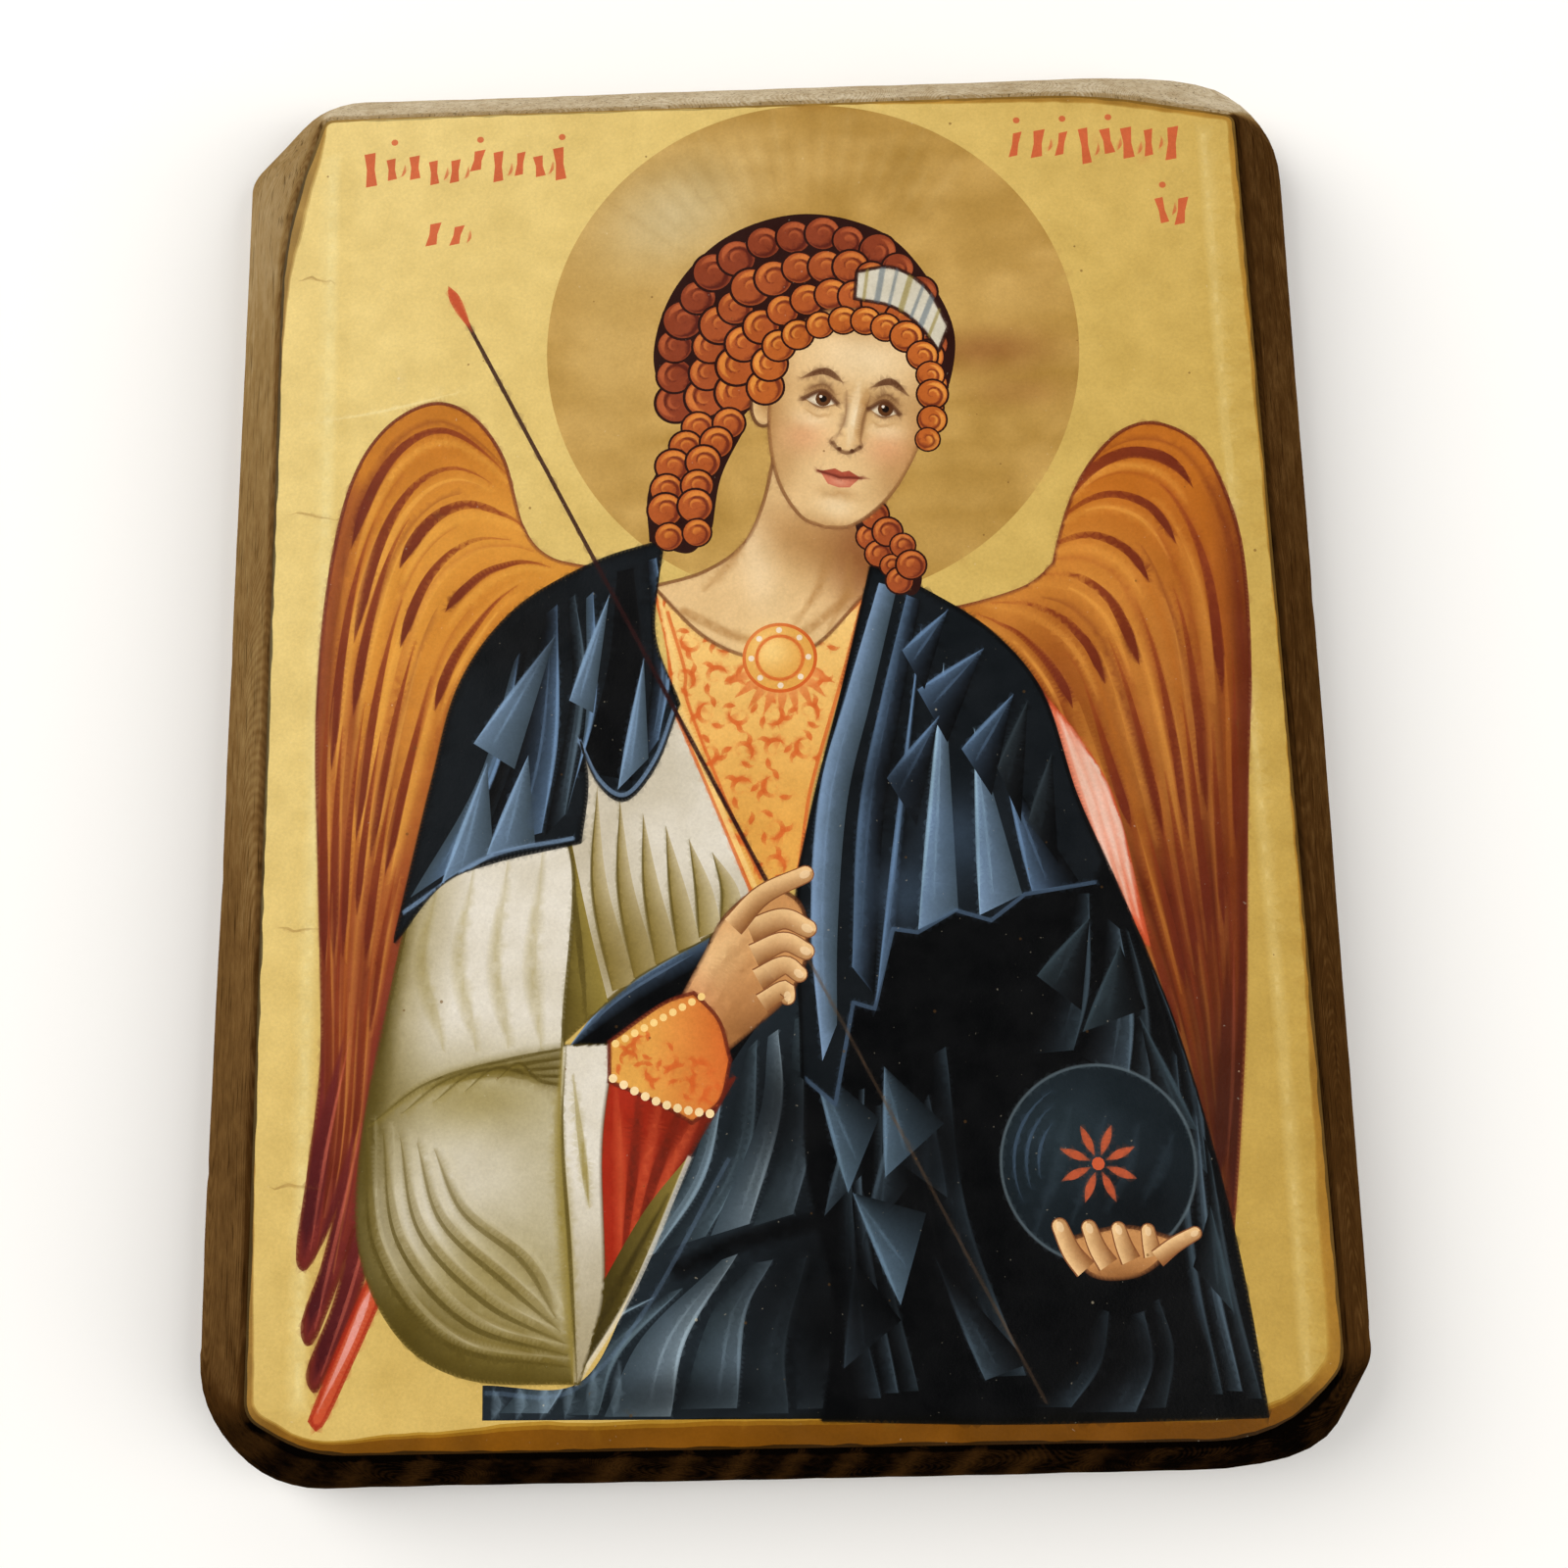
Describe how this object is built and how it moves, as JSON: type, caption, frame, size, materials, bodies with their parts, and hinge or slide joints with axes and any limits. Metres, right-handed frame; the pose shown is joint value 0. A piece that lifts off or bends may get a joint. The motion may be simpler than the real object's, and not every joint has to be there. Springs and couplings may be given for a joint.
{
  "type": "icon panel",
  "caption": "Devotional icon panel: a varnished paper print of a winged angel glued to a thick wooden board with clipped corners and stained sloping sides.",
  "frame": {"origin": "centre of the board's box, on its flat back", "axes": "+Z out of the picture, +Y to the picture's top, +X to its right; the panel lies on its back"},
  "size_m": [0.1704, 0.2178, 0.0183],
  "materials": {
    "stained_wood": "brown stain, worn, lightly varnished",
    "varnished_print": "colour print under satin varnish"
  },
  "bodies": {
    "root": {"wooden_board": "stained_wood", "printed_picture": "varnished_print"}
  },
  "joints": []
}
